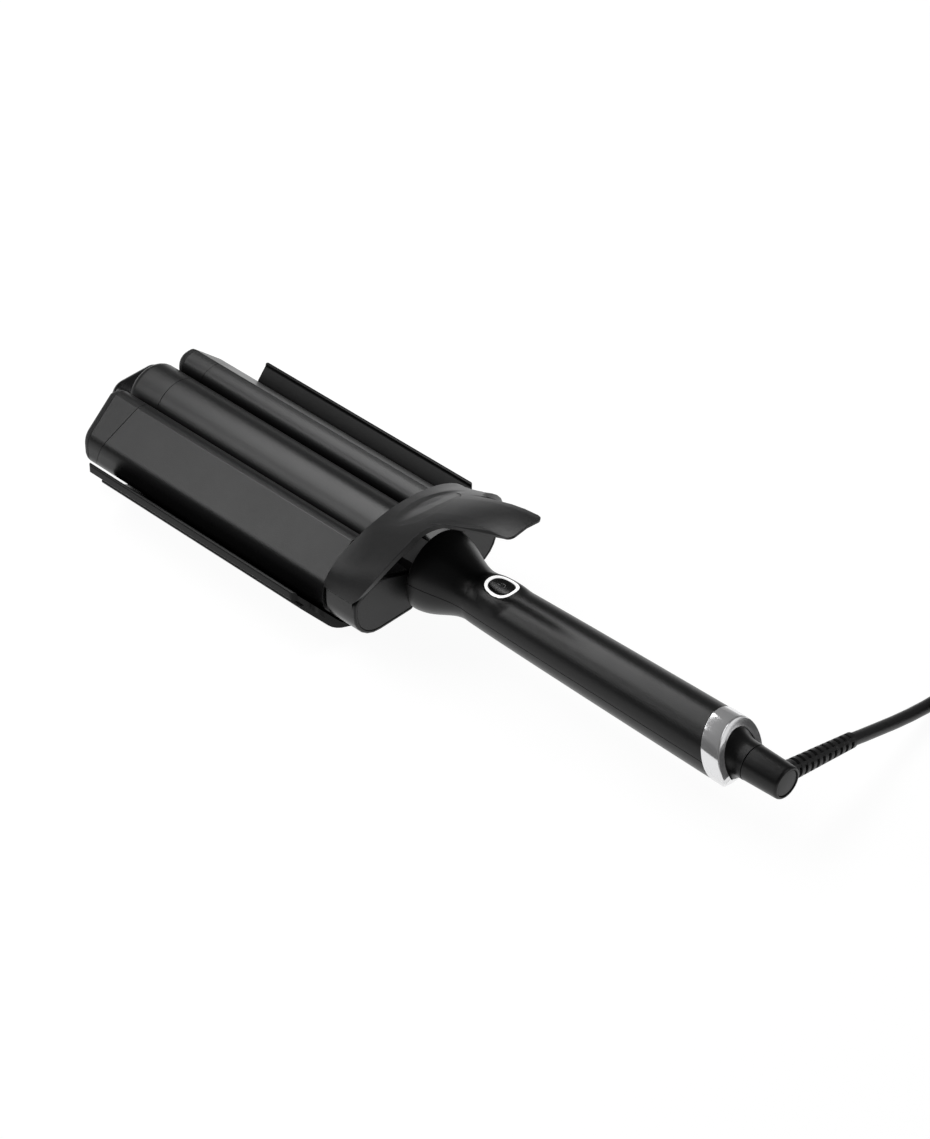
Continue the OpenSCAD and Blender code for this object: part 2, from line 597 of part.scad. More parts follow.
function crown(x) = arch_h + tongue_rise * sin(90 * pow(max(0, (x - crown_x) / (tongue_end - crown_x)), 1.15));
function lever_front(c) = crown_x - 4 * (1 - c);
function hollow_end(y) = hollow_from + hollow_len * pow(1 - pow(min(1, abs(y) / hollow_half), 3), 1 / 3);
function hollow(x, y, c) = abs(y) >= hollow_half || x > hollow_end(y) ? 0
    : hollow_d * (1 - pow(abs(y) / hollow_half, 3)) * (x - lever_front(c)) / (hollow_end(y) - lever_front(c));
function lever_point(x, y, c) = [x, y, foot_z + crown(x) * c - hollow(x, y, c)];
function lever_normal(x, y, c) = let (k = pow(c, arch_power - 1) / crown(x))
    unit([-k * c * (crown(x + 0.5) - crown(x - 0.5)), sign(y) * pow(abs(y) / arch_half, arch_power - 1)
        / arch_half, k]);
lever_rows = 11;
hollow_rows = 5;
function lever_row(q, k) = let (f = lever_front(q.z),
        m = abs(q.y) < hollow_half ? hollow_end(q.y) : f + (q.x - f) * 0.5)
    k < hollow_rows ? f + (m - f) * k / (hollow_rows - 1)
    : m + (k == hollow_rows ? 0.6 : 0.6 + (q.x - m - 0.6) * (k - hollow_rows) / (lever_rows - hollow_rows));
lever_out = [for (q = columns) [for (k = [0:lever_rows]) lever_point(lever_row(q, k), q.y, q.z)]];
lever_in = [for (q = columns) [for (k = [0:lever_rows])
    let (x = lever_row(q, k)) lever_point(x, q.y, q.z) - lever_wall(x) * lever_normal(x, q.y, q.z)]];
function lever_wall(x) = lever_t - (lever_t - tongue_t)
    * pow(max(0, (x - foot_back) / (tongue_end - foot_back)), 1.5);
module lever_arch() color([0.13, 0.13, 0.13]) {
    rows = lever_rows + 1;
    cols = len(columns);
    half = rows * cols;
    polyhedron(concat([for (c = lever_out) each c], [for (c = lever_in) each c]), concat(
        [for (j = [0:cols - 2], k = [0:rows - 2]) let (a = j * rows + k, b = a + rows)
            each [[a, b, b + 1], [a, b + 1, a + 1], [a + half, b + 1 + half, b + half],
                [a + half, a + 1 + half, b + 1 + half]]],
        [for (k = [0:rows - 2]) let (b = (cols - 1) * rows + k)
            each [[k, k + 1, k + 1 + half], [k, k + 1 + half, k + half],
                [b, b + 1 + half, b + 1], [b, b + half, b + 1 + half]]],
        [for (j = [0:cols - 2]) let (a = j * rows, e = a + rows - 1)
            each [[a, a + half, a + rows + half], [a, a + rows + half, a + rows],
                [e, e + rows + half, e + half], [e, e + rows, e + rows + half]]]));
}

// ---- cord swivel ----
module relief_way(s) translate([relief_x, 0, 0]) rotate([-90 - relief_tilt, 0, 0]) translate([0, 0, s]) children();
module swivel_sleeve() color([0.08, 0.08, 0.08]) difference() {
    turned_part([[spindle_r + 0.05, sleeve_x], [sleeve_r, sleeve_x], [sleeve_r - 0.45, sleeve_end - 1],
        [sleeve_r - 1.2, sleeve_end], [cap_r + touch, sleeve_end], [cap_r + touch, sleeve_end - 1.6],
        [3.9, sleeve_end - 1.6], [3.9, sleeve_x + 6], [spindle_r + 0.05, sleeve_x + 6]]);
    relief_way(2) cylinder(r = root_r + 0.05, h = 10);
}
module swivel_spindle() color("silver") {
    rod_x(spindle_r, foot_x - 6, sleeve_x + 6);
    rod_x(flange_r, foot_x - 5, foot_x - 2.4);
}
module swivel_cap() color([0.1, 0.1, 0.1]) rod_x(cap_r, sleeve_end - 1.6, sleeve_end - 0.3);
module strain_relief() color([0.1, 0.1, 0.1]) relief_way(0) {
    step = (relief_len - relief_from) / relief_ribs;
    rotate_extrude() polygon(concat([[0, 4], [root_r, 4], [root_r, 6], [4.3, 8.2], [4.2, relief_from]],
        [for (k = [0:relief_ribs - 1]) let (r = relief_r(k), s = relief_from + step * k)
            each [[r - 1.1, s], [r - 1.1, s + step * 0.45], [r, s + step * 0.5], [r, s + step]]],
        [[0, relief_len]]));
    for (a = [45:90:315]) rotate([0, 0, a]) rotate([90, 0, 0]) linear_extrude(1.5, center = true)
        polygon([[2, 8], [4.1, 8], [relief_r(relief_ribs - 1) - 0.05, relief_len - 0.2], [2, relief_len - 0.2]]);
}
function relief_r(k) = 4.15 - 0.9 * k / (relief_ribs - 1);

function coil_at(s) = let (a = 180 - 360 * s, z = coil_layer(s))
    [coil_mid.x + coil_radius(s) * cos(a), coil_mid.y + coil_radius(s) * sin(a), coil_in.z + coil_pitch * z];
function coil_radius(s) = coil_r - coil_pitch * (s < coil_flips[0] ? s : s < coil_flips[1]
    ? 2 * coil_flips[0] - s : s < coil_flips[2] ? 2 * (coil_flips[0] - coil_flips[1]) + s
    : 2 * (coil_flips[0] - coil_flips[1] + coil_flips[2]) - s);
function coil_layer(s) = let (up = [for (f = coil_flips) max(0, min(1, (s - f + 0.25) * 2))]) up * [1, 1, 1];
module cord_coil() color([0.1, 0.1, 0.1]) tube(coil_path, cord_d, 6, [0, 1, 0], [0, -1, 0]);
module power_cord() color([0.1, 0.1, 0.1])
    tube(cord_route, cord_d, 8, [0, cos(relief_tilt), -sin(relief_tilt)], [0, 1, 0]);
module cord_tail() color([0.1, 0.1, 0.1]) tube(tail_route, cord_d, 8, [0, -1, 0], [0, -1, 0]);
module plug_place() translate(plug_at) rotate([0, 0, -90]) children();
module plug_body() color([0.1, 0.1, 0.1]) plug_place() skin([for (q = plug_rings)
    at_x(rounded([[-q.y / 2, -q.z / 2, q.z * 0.45], [q.y / 2, -q.z / 2, q.z * 0.45],
        [q.y / 2, q.z / 2, q.z * 0.45], [-q.y / 2, q.z / 2, q.z * 0.45]], 3), q.x)]);
module plug_pins() color("silver") plug_place() for (s = [-9.5, 9.5])
    translate([plug_len, s, 0]) rotate([0, 90, 0]) cylinder(r = 2.4, h = 19);

echo(least_gap_between_turns = coil_gap);

place() handle_upper_shell();
place() handle_lower_shell();
place() end_ring();
place() swivel_socket();
place() jaw_frame();
place() hinge_pin();
place() jaw_plate();
place() jaw_cover();
place() jaw_screws();
place() centre_barrel();
place() centre_cool_tip();
place() centre_collar();
place() centre_heater();
place() jaw_nose();
place() light_ring();
place() circuit_board();
place() board_screws();
place() button_switch();
place() contact_block();
place() closing_springs();
place() power_button();
place() lever_arch();
place() left_pod();
place() other_side() left_pod();  // right_pod
place() left_pod_cover();
place() other_side() left_pod_cover();  // right_pod_cover
place() left_spacer();
place() other_side() left_spacer();  // right_spacer
place() left_barrel();
place() other_side() left_barrel();  // right_barrel
place() left_heater();
place() other_side() left_heater();  // right_heater
place() left_cool_tip();
place() other_side() left_cool_tip();  // right_cool_tip
place() left_tip_cap();
place() other_side() left_tip_cap();  // right_tip_cap
place() pod_screws();
place() swivel_sleeve();
place() swivel_spindle();
place() swivel_cap();
place() strain_relief();
power_cord();
cord_coil();
cord_tail();
plug_body();
plug_pins();
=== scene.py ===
# Hair waver: looks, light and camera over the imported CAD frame
import math

import bmesh
import bpy
from mathutils import Matrix, Vector


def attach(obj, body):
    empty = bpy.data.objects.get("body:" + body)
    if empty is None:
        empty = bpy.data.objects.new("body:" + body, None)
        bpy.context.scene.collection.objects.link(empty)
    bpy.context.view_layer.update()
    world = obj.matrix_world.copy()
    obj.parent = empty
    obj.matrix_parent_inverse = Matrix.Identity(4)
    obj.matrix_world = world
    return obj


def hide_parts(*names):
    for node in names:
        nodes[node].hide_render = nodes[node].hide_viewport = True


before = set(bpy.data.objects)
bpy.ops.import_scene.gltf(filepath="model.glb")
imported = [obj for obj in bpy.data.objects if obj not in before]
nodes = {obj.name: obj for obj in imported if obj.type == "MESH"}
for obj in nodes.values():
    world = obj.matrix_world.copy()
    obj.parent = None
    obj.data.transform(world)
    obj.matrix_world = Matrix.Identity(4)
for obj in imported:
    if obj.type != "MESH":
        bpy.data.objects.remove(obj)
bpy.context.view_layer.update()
scene = bpy.context.scene
print("frame loaded,", len(nodes), "nodes")

# The photograph's own view, found from the barrels' and the grip's edges
cameraLook = {"place": (0.8315, -0.8337, 0.9600), "aim": (0.0074, 0.0078, 0.0265), "lens": 117.2, "sensor": 36.0}
camera = bpy.data.objects.new("camera", bpy.data.cameras.new("camera"))
scene.collection.objects.link(camera)
camera.location = cameraLook["place"]
camera.rotation_euler = (Vector(cameraLook["aim"]) - camera.location).to_track_quat("-Z", "Y").to_euler()
camera.data.lens = cameraLook["lens"]
camera.data.sensor_width = cameraLook["sensor"]
camera.data.sensor_fit = "AUTO"
camera.data.clip_start, camera.data.clip_end = 0.05, 50
scene.camera = camera
print("camera set")


# Finishes: grain drives tint and bump, patches drive roughness
def newNode(tree, kind, **settings):
    node = tree.nodes.new(kind)
    for key, value in settings.items():
        setattr(node, key, value)
    return node


def finish(name, look):
    material = bpy.data.materials.new(name)
    material.use_nodes = True
    tree = material.node_tree
    shader = tree.nodes["Principled BSDF"]
    place = newNode(tree, "ShaderNodeTexCoord")
    grain = newNode(tree, "ShaderNodeTexNoise")
    grain.inputs["Scale"].default_value = look["grain"]
    grain.inputs["Detail"].default_value = 3
    patches = newNode(tree, "ShaderNodeTexNoise")
    patches.inputs["Scale"].default_value = look.get("patches", 60)
    patches.inputs["Detail"].default_value = 4
    tree.links.new(place.outputs["Object"], grain.inputs["Vector"])
    tree.links.new(place.outputs["Object"], patches.inputs["Vector"])
    bump = newNode(tree, "ShaderNodeBump")
    bump.inputs["Strength"].default_value = 1
    bump.inputs["Distance"].default_value = look["height"]
    tree.links.new(grain.outputs["Fac"], bump.inputs["Height"])
    tree.links.new(bump.outputs["Normal"], shader.inputs["Normal"])
    if "hollow" in look:        # bump only, over the hollow that the lever's own shape has
        dish = look["hollow"]
        oval = newNode(tree, "ShaderNodeMapping", vector_type="TEXTURE")
        oval.inputs["Location"].default_value = (*dish["at"], 0)
        oval.inputs["Rotation"].default_value = (0, 0, math.radians(dish["turn"]))
        oval.inputs["Scale"].default_value = (*dish["half"], 1000)
        reach = newNode(tree, "ShaderNodeVectorMath", operation="LENGTH")
        slope = newNode(tree, "ShaderNodeMapRange", interpolation_type="SMOOTHSTEP")
        slope.inputs["From Min"].default_value, slope.inputs["From Max"].default_value = 0.3, 1.0
        carve = newNode(tree, "ShaderNodeBump")
        carve.inputs["Strength"].default_value = 1
        carve.inputs["Distance"].default_value = dish["deep"]
        tree.links.new(place.outputs["Object"], oval.inputs["Vector"])
        tree.links.new(oval.outputs["Vector"], reach.inputs[0])
        tree.links.new(reach.outputs["Value"], slope.inputs["Value"])
        tree.links.new(slope.outputs["Result"], carve.inputs["Height"])
        tree.links.new(carve.outputs["Normal"], bump.inputs["Normal"])
    spread = newNode(tree, "ShaderNodeMapRange")
    spread.inputs["From Min"].default_value, spread.inputs["From Max"].default_value = 0.3, 0.7
    spread.inputs["To Min"].default_value = look["rough"] - look.get("spread", 0.012)
    spread.inputs["To Max"].default_value = look["rough"] + look.get("spread", 0.012)
    tree.links.new(patches.outputs["Fac"], spread.inputs["Value"])
    tree.links.new(spread.outputs["Result"], shader.inputs["Roughness"])
    tint = newNode(tree, "ShaderNodeMix", data_type="RGBA")
    tint.inputs["A"].default_value = (*look["colour"], 1)
    tint.inputs["B"].default_value = (*look.get("worn", [c * 1.25 for c in look["colour"]]), 1)
    tree.links.new(grain.outputs["Fac"], tint.inputs["Factor"])
    tree.links.new(tint.outputs["Result"], shader.inputs["Base Color"])
    shader.inputs["Metallic"].default_value = look.get("metal", 0)
    shader.inputs["Specular IOR Level"].default_value = look.get("shine", 0.5)
    if "glow" in look:
        shader.inputs["Emission Color"].default_value = (1, 1, 1, 1)
        shader.inputs["Emission Strength"].default_value = look["glow"]
    return material


softTouch = finish("soft touch black", {"colour": (0.007, 0.007, 0.0072),
    "rough": 0.34, "grain": 2600, "height": 0.000035, "shine": 0.3})
leverTouch = finish("soft touch black, lever", {"colour": (0.009, 0.009, 0.0093),
    "rough": 0.38, "grain": 2400, "height": 0.00005, "shine": 0.26,
    "hollow": {"at": (-0.0075, 0.004), "half": (0.0075, 0.018), "turn": -8, "deep": 0.0012}})
barrelCoat = finish("barrel coat", {"colour": (0.006, 0.006, 0.0062),
    "rough": 0.32, "grain": 2200, "height": 0.00003, "shine": 0.32})
tipPlastic = finish("cool tip plastic", {"colour": (0.006, 0.006, 0.0062),
    "rough": 0.34, "grain": 2400, "height": 0.00004, "shine": 0.32})
tipRim = finish("tip rim", {"colour": (0.012, 0.012, 0.0123),
    "rough": 0.52, "grain": 2400, "height": 0.00005, "shine": 0.2})
housingBlack = finish("housing black", {"colour": (0.004, 0.004, 0.0042),
    "rough": 0.24, "grain": 2400, "height": 0.00001, "shine": 0.28})
plateBlack = finish("plate black", {"colour": (0.003, 0.003, 0.0031),
    "rough": 0.3, "grain": 2400, "height": 0.00001, "shine": 0.12})
darkSteel = finish("blackened steel", {"colour": (0.03, 0.03, 0.031),
    "rough": 0.4, "grain": 3000, "height": 0.00001, "metal": 1})
glossTrim = finish("gloss trim", {"colour": (0.004, 0.004, 0.0042),
    "rough": 0.14, "grain": 900, "height": 0.000004, "shine": 0.3})
socketBlack = finish("socket black", {"colour": (0.007, 0.007, 0.0072),
    "rough": 0.33, "grain": 2400, "height": 0.00002, "shine": 0.3})
podCoverTouch = finish("housing cover", {"colour": (0.016, 0.016, 0.0164),
    "rough": 0.48, "grain": 2200, "height": 0.00006, "shine": 0.4})
buttonBlack = finish("button black", {"colour": (0.005, 0.005, 0.0052),
    "rough": 0.22, "grain": 1500, "height": 0.000004, "shine": 0.3})
symbolGrey = finish("symbol grey", {"colour": (0.16, 0.16, 0.165), "rough": 0.4, "grain": 3000, "height": 0.000004})
lightWhite = finish("lit ring", {"colour": (0.9, 0.9, 0.9), "worn": (0.95, 0.95, 0.95),
    "rough": 0.35, "grain": 1500, "height": 0.000004, "glow": 0.75})
chrome = finish("polished chrome", {"colour": (0.86, 0.86, 0.87), "worn": (0.9, 0.9, 0.91),
    "rough": 0.12, "spread": 0.02, "grain": 500, "height": 0.000002, "metal": 0.72})
steel = finish("bright steel", {"colour": (0.56, 0.56, 0.57), "worn": (0.66, 0.66, 0.67),
    "rough": 0.3, "grain": 3000, "height": 0.00001, "metal": 1})
structure = finish("frame plastic", {"colour": (0.008, 0.008, 0.0083),
    "rough": 0.55, "grain": 1600, "height": 0.00005, "shine": 0.2})
ceramic = finish("heater ceramic", {"colour": (0.8, 0.77, 0.7), "rough": 0.6, "grain": 2000, "height": 0.00003})
boardGreen = finish("board lacquer", {"colour": (0.03, 0.16, 0.07), "rough": 0.35, "grain": 1200, "height": 0.00001})
contactResin = finish("contact resin", {"colour": (0.4, 0.24, 0.13), "rough": 0.5, "grain": 1500, "height": 0.00002})
cordRubber = finish("cord rubber", {"colour": (0.014, 0.014, 0.0145),
    "rough": 0.42, "grain": 2200, "height": 0.00003, "shine": 0.45})
pinPlating = finish("plated pins", {"colour": (0.62, 0.58, 0.5),
    "rough": 0.22, "grain": 1200, "height": 0.000004, "metal": 1})
print("finishes made")


# Pieces are drawn in the tool's own frame, in mm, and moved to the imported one
midX, axisZ = 156.0, 26.5
turn = math.radians(17)         # the ring's slants are turned to the far side


def dress(piece, body, material, slotName, *replaced):
    piece.data.materials.clear()
    piece.data.materials.append(material)
    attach(piece, body)
    if replaced:
        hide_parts(*replaced)
    return piece


def toPiece(bm, name, sharp=35, toolFrame=True):
    if toolFrame:
        for v in bm.verts:
            v.co = Vector((v.co.x - midX, v.co.y, v.co.z + axisZ)) / 1000
    mesh = bpy.data.meshes.new(name)
    bm.to_mesh(mesh)
    bm.free()
    mesh.shade_smooth()
    mesh.set_sharp_from_angle(angle=math.radians(sharp))
    piece = bpy.data.objects.new(name, mesh)
    scene.collection.objects.link(piece)
    return piece


def addBevel(piece, width, segments=3, angle=35):
    bevel = piece.modifiers.new("edges", "BEVEL")
    bevel.width = width / 1000
    bevel.segments = segments
    bevel.limit_method = "ANGLE"
    bevel.angle_limit = math.radians(angle)
    bevel.harden_normals = True
    bevel.use_clamp_overlap = True
    weight = piece.modifiers.new("normals", "WEIGHTED_NORMAL")
    weight.keep_sharp = True
    return piece


def softened(node, name, sharp=35, join=False):
    bm = bmesh.new()
    bm.from_mesh(nodes[node].data)
    bmesh.ops.remove_doubles(bm, verts=bm.verts, dist=2e-6)
    if join:
        bmesh.ops.join_triangles(bm, faces=bm.faces, angle_face_threshold=math.radians(40),
                                 angle_shape_threshold=math.radians(60))
    else:
        bmesh.ops.dissolve_limit(bm, angle_limit=math.radians(0.6), verts=bm.verts, edges=bm.edges)
    return toPiece(bm, name, sharp, False)


def spun(profile, steps=128, closed=True, angle=2 * math.pi):
    bm = bmesh.new()
    verts = [bm.verts.new((x, -r, 0)) for x, r in profile]
    edges = [bm.edges.new(pair) for pair in zip(verts, verts[1:] + ([verts[0]] if closed else []))]
    whole = abs(angle) > 6.28
    bmesh.ops.spin(bm, geom=verts + edges, axis=(1, 0, 0), cent=(0, 0, 0), angle=angle, steps=steps, use_merge=whole)
    if not closed or not whole:
        bmesh.ops.holes_fill(bm, edges=[e for e in bm.edges if e.is_boundary], sides=0)
    bmesh.ops.remove_doubles(bm, verts=bm.verts, dist=1e-5)
    bmesh.ops.recalc_face_normals(bm, faces=bm.faces)
    return bm


def smoothStep(t):
    t = max(0.0, min(1.0, t))
    return t * t * (3 - 2 * t)


# Cord: out of the strain relief, along the floor, into a coil with the plug beside it
cordLook = {"diameter": 5.5, "coilRadius": 40, "turns": 13.5, "pitch": 6, "flips": (3.25, 6.75, 10.25), "steps": 24}
cordRoute = [(180, 52, 14.8), (180, 62, 12), (180, 72, 9.2), (180, 82, 6.8), (180, 92, 4.9), (180, 102, 3.6),
             (180, 112, 2.9), (180, 120, 2.75), (180, 126.5, 2.75)]
tilt = math.radians(12)
cordExit = (180, 46 * math.cos(tilt), 26.5 - 46 * math.sin(tilt))


def coilAt(s):
    a, b, c = cordLook["flips"]
    lay = s if s < a else 2 * a - s if s < b else 2 * (a - b) + s if s < c else 2 * (a - b + c) - s
    radius = cordLook["coilRadius"] - cordLook["pitch"] * lay
    up = sum(max(0, min(1, (s - f + 0.25) * 2)) for f in cordLook["flips"])
    turned = math.pi - 2 * math.pi * s
    return (220 + radius * math.cos(turned), 132 + radius * math.sin(turned), 2.75 + cordLook["pitch"] * up)


coilEnd = coilAt(cordLook["turns"])
cordTail = [(-5.5, 0), (-14, -0.6), (-24, -3.4), (-32, -5.8)]
cordWay = [cordExit] + cordRoute
cordWay += [coilAt(i / cordLook["steps"]) for i in range(int(cordLook["steps"] * cordLook["turns"]) + 1)]
cordWay += [(coilEnd[0], coilEnd[1] + dy, coilEnd[2] + dz) for dy, dz in cordTail] + [(coilEnd[0], coilEnd[1] - 40, 13.2)]
cordWay = [Vector(p) / 1000 for p in cordWay]
line = bpy.data.curves.new("mainsCord", "CURVE")
line.dimensions = "3D"
spline = line.splines.new("POLY")
spline.points.add(len(cordWay) - 1)
for point, place in zip(spline.points, cordWay):
    point.co = (*place, 1)
line.bevel_depth = cordLook["diameter"] / 2000
line.bevel_resolution = 3
line.use_fill_caps = True
mainsCord = bpy.data.objects.new("mainsCord", line)
scene.collection.objects.link(mainsCord)
dress(mainsCord, "cord_swivel", cordRubber, "cord_rubber", "power_cord", "cord_coil", "cord_tail")
plug = addBevel(softened("plug_body", "mainsPlug", 40), 0.6)
dress(plug, "cord_swivel", cordRubber, "cord_rubber", "plug_body")
relief = addBevel(softened("strain_relief", "ribbedRelief", 40), 0.14, 2)
dress(relief, "cord_swivel", cordRubber, "cord_rubber", "strain_relief")

# Handle: two shells that meet in a seam, with a raised collar round the button
gripLook = {"neck": 155.0, "flare": 25, "length": 154.1, "neckR": 18.2, "waistR": 11.2, "endR": 13.6, "wall": 2.2,
            "seam": 0.2, "seamRise": 3, "rim": 0.9, "slant": 0.38,
            "swell": 0.65, "steps": 72, "wallAt": (180, 120, 60, 40, 25, 20, 15, 10, 5, 0)}
buttonLook = {"x": 191.4, "long": 14.0, "wide": 12.3, "band": 1.3, "top": 11.976, "crown": 20, "collar": 4.6,
              "egg": 0.07, "full": 2.45, "sunk": 0.12, "recess": 7.5, "recessEdge": -0.3,
              "points": 96, "symbolDrop": 0.34}


def gripR(x):
    g = gripLook
    if x < g["flare"]:
        return g["waistR"] + (g["neckR"] - g["waistR"]) * (1 + math.cos(math.pi * x / g["flare"])) / 2
    swell = (min(x, g["length"]) - g["flare"]) ** g["swell"]
    return g["waistR"] + (g["endR"] - g["waistR"]) * swell / (g["length"] - g["flare"]) ** g["swell"]


def seamRise(x):
    return gripLook["seamRise"] * (1 + math.cos(math.pi * x / gripLook["flare"])) / 2 if x < gripLook["flare"] else 0


def buttonEdge(x, y):
    b = buttonLook
    along = (x - b["x"]) / (b["long"] / 2)
    across = y / (b["wide"] / 2 * (1 + b["egg"] * along))
    return ((abs(along) ** b["full"] + abs(across) ** b["full"]) ** (1 / b["full"]) - 1) * b["wide"] / 2


def crownZ(y):
    return buttonLook["top"] - buttonLook["crown"] + math.sqrt(buttonLook["crown"] ** 2 - min(abs(y), 12) ** 2)


def eggSolid(levels, closed):
    b = buttonLook
    count = b["points"]
    bm = bmesh.new()
    loops = []
    for edge, drop in levels:
        size, loop = 1 + edge / (b["wide"] / 2), []
        for k in range(count):
            c, q = math.cos(2 * k * math.pi / count), math.sin(2 * k * math.pi / count)
            along = size * math.copysign(abs(c) ** (2 / b["full"]), c)
            across = size * math.copysign(abs(q) ** (2 / b["full"]), q)
            y = across * b["wide"] / 2 * (1 + b["egg"] * along)
            loop.append(bm.verts.new((b["x"] + along * b["long"] / 2, y, crownZ(y) - drop)))
        loops.append(loop)
    for one, two in zip(loops, loops[1:] + ([loops[0]] if closed else [])):
        for k in range(count):
            bm.faces.new((one[k], one[(k + 1) % count], two[(k + 1) % count], two[k]))
    if not closed:
        bm.faces.new(loops[0])
        bm.faces.new(loops[-1])
    bmesh.ops.recalc_face_normals(bm, faces=bm.faces)
    return bm


def gripShell(side):
    g = gripLook
    stations = [0.9 + k * 0.8 for k in range(31)] + [25.6 + k * 0.5 for k in range(52)] + [53 + k * 5 for k in range(25)]
    rim = [(g["rim"] * (1 - math.cos(a)), gripR(0) - g["rim"] * (1 - math.sin(a))) for a in (k * math.pi / 8 for k in range(4))]
    outer = rim + [(x, gripR(x)) for x in stations]
    inner = [(x, gripR(x) - g["wall"]) for x in g["wallAt"]]
    bm = spun([(g["neck"] + x, r) for x, r in outer + inner], g["steps"], True, -side * math.pi)
    for v in bm.verts:
        x, r = v.co.x - g["neck"], math.hypot(v.co.y, v.co.z)
        angle = math.atan2(v.co.z, -v.co.y)
        if side < 0 and angle > 0.1:
            angle -= 2 * math.pi
        lift = math.asin((seamRise(x) + side * g["seam"] / 2) / gripR(x))
        angle = lift + angle * (math.pi - side * 2 * lift) / math.pi
        v.co.y, v.co.z = -r * math.cos(angle), r * math.sin(angle)
        if side > 0 and v.co.z > 4 and r > gripR(x) - 1:
            b = buttonLook
            edge = buttonEdge(v.co.x, v.co.y)
            level = crownZ(v.co.y) - b["sunk"]
            if edge < b["recessEdge"]:
                v.co.z = b["recess"]
            elif edge < b["collar"]:
                v.co.z += (level - v.co.z) * smoothStep(1 - edge / b["collar"])
    lean = Vector((1, g["slant"] * math.sin(turn), g["slant"] * math.cos(turn)))
    cut = bmesh.ops.bisect_plane(bm, geom=bm.verts[:] + bm.edges[:] + bm.faces[:], plane_co=(g["neck"] + g["length"], 0, 0),
                                 plane_no=lean, clear_outer=True)
    bmesh.ops.contextual_create(bm, geom=[e for e in cut["geom_cut"] if isinstance(e, bmesh.types.BMEdge)])
    bmesh.ops.recalc_face_normals(bm, faces=bm.faces)
    return bm


for side, name, node in ((1, "upperShell", "handle_upper_shell"), (-1, "lowerShell", "handle_lower_shell")):
    shell = addBevel(toPiece(gripShell(side), name, 50), 0.18, 2, 50)
    dress(shell, "handle", softTouch, "soft_touch", node)
print("handle made")

# Light ring and power button; each level is (distance outside the egg, drop under the crown)
ringLevels = [(-0.12, 1.4), (0, 1.3), (0, 0.12), (-0.12, 0), (-0.98, 0), (-1.1, 0.12), (-1.1, 1.4)]
dress(toPiece(eggSolid(ringLevels, True), "litRing", 40), "handle", lightWhite, "light", "light_ring")
buttonLevels = [(-1.2, 1.6), (-1.2, 0.55), (-1.28, 0.4), (-1.5, 0.3), (-1.9, 0.28), (-2.6, 0.3),
                (-3.6, 0.34), (-4.6, 0.36), (-5.6, 0.38)]
dress(toPiece(eggSolid(buttonLevels, False), "pressButton", 40), "button", buttonBlack, "button", "power_button")
symbolLook = {"radius": 1.55, "line": 0.2, "bar": 1.75, "gap": 38}


def powerSymbol():
    s, b = symbolLook, buttonLook
    bm = bmesh.new()
    ring = bmesh.ops.create_circle(bm, radius=s["line"], segments=8)["verts"]
    bmesh.ops.rotate(bm, verts=ring, cent=(0, 0, 0), matrix=Matrix.Rotation(math.pi / 2, 3, "X"))
    bmesh.ops.translate(bm, verts=ring, vec=(s["radius"], 0, 0))
    bmesh.ops.rotate(bm, verts=ring, cent=(0, 0, 0), matrix=Matrix.Rotation(math.radians(180 + s["gap"]), 3, "Z"))
    bmesh.ops.spin(bm, geom=bm.verts[:] + bm.edges[:], axis=(0, 0, 1), cent=(0, 0, 0),
                   angle=math.radians(360 - 2 * s["gap"]), steps=32)
    bar = bmesh.ops.create_cone(bm, cap_ends=True, segments=8, radius1=s["line"], radius2=s["line"],
                                depth=s["bar"])["verts"]
    bmesh.ops.rotate(bm, verts=bar, cent=(0, 0, 0), matrix=Matrix.Rotation(math.pi / 2, 3, "Y"))
    bmesh.ops.translate(bm, verts=bar, vec=(-s["radius"] + 0.2, 0, 0))
    bmesh.ops.holes_fill(bm, edges=[e for e in bm.edges if e.is_boundary], sides=0)
    bmesh.ops.recalc_face_normals(bm, faces=bm.faces)
    for v in bm.verts:
        v.co = (v.co.x + b["x"], v.co.y, v.co.z * 0.5 + crownZ(v.co.y) - b["symbolDrop"])
    return bm


dress(toPiece(powerSymbol(), "powerSymbol", 60), "button", symbolGrey, "button")
print("button made")

# Bright ring, socket and swivel sleeve
ringLook = {"long": 10, "front": 309.2, "frontLean": 0.38, "rear": 318.4, "rearLean": 0.45, "outer": 13.8, "bore": 9.9, "edge": 0.55,
            "heel": (321.9, -4.0, 0.52), "blend": 1.2}
socketLook = {"root": 303, "bore": 4.1, "foot": 316.6, "end": 324.4, "footR": 9.85, "neckR": 7.75, "lean": 0.27}
sleeveLook = {"bore": 4.1, "seat": 1.6, "front": 324.6, "end": 341.7, "frontR": 7.6, "endR": 7.15, "capR": 5.7, "round": 1.3}


def leanAt(y, z):
    return z * math.cos(turn) + y * math.sin(turn)


def brightRing():
    r = ringLook
    e = r["edge"]
    corner = [(k * math.pi / 8) for k in range(5)]
    profile = [(0, r["bore"]), (0, r["outer"] - 0.2), (0.2, r["outer"])]
    profile += [(r["long"] - e + e * math.sin(a), r["outer"] - e + e * math.cos(a)) for a in corner]
    profile += [(r["long"], r["bore"] + 0.3), (r["long"] - 0.3, r["bore"])]
    bm = spun(profile, 192)
    for v in bm.verts:
        y, z = v.co.y, v.co.z
        front = r["front"] - r["frontLean"] * leanAt(y, z)
        upper, lower = r["rear"] - r["rearLean"] * leanAt(y, z), r["heel"][0] + r["heel"][2] * (z - r["heel"][1])
        near = max(r["blend"] - abs(upper - lower), 0) / r["blend"]
        rear = min(upper, lower) - near * near * r["blend"] / 4       # the two faces meet in a soft heel
        v.co.x = front + v.co.x if v.co.x < r["long"] / 2 else rear + v.co.x - r["long"]
    return bm


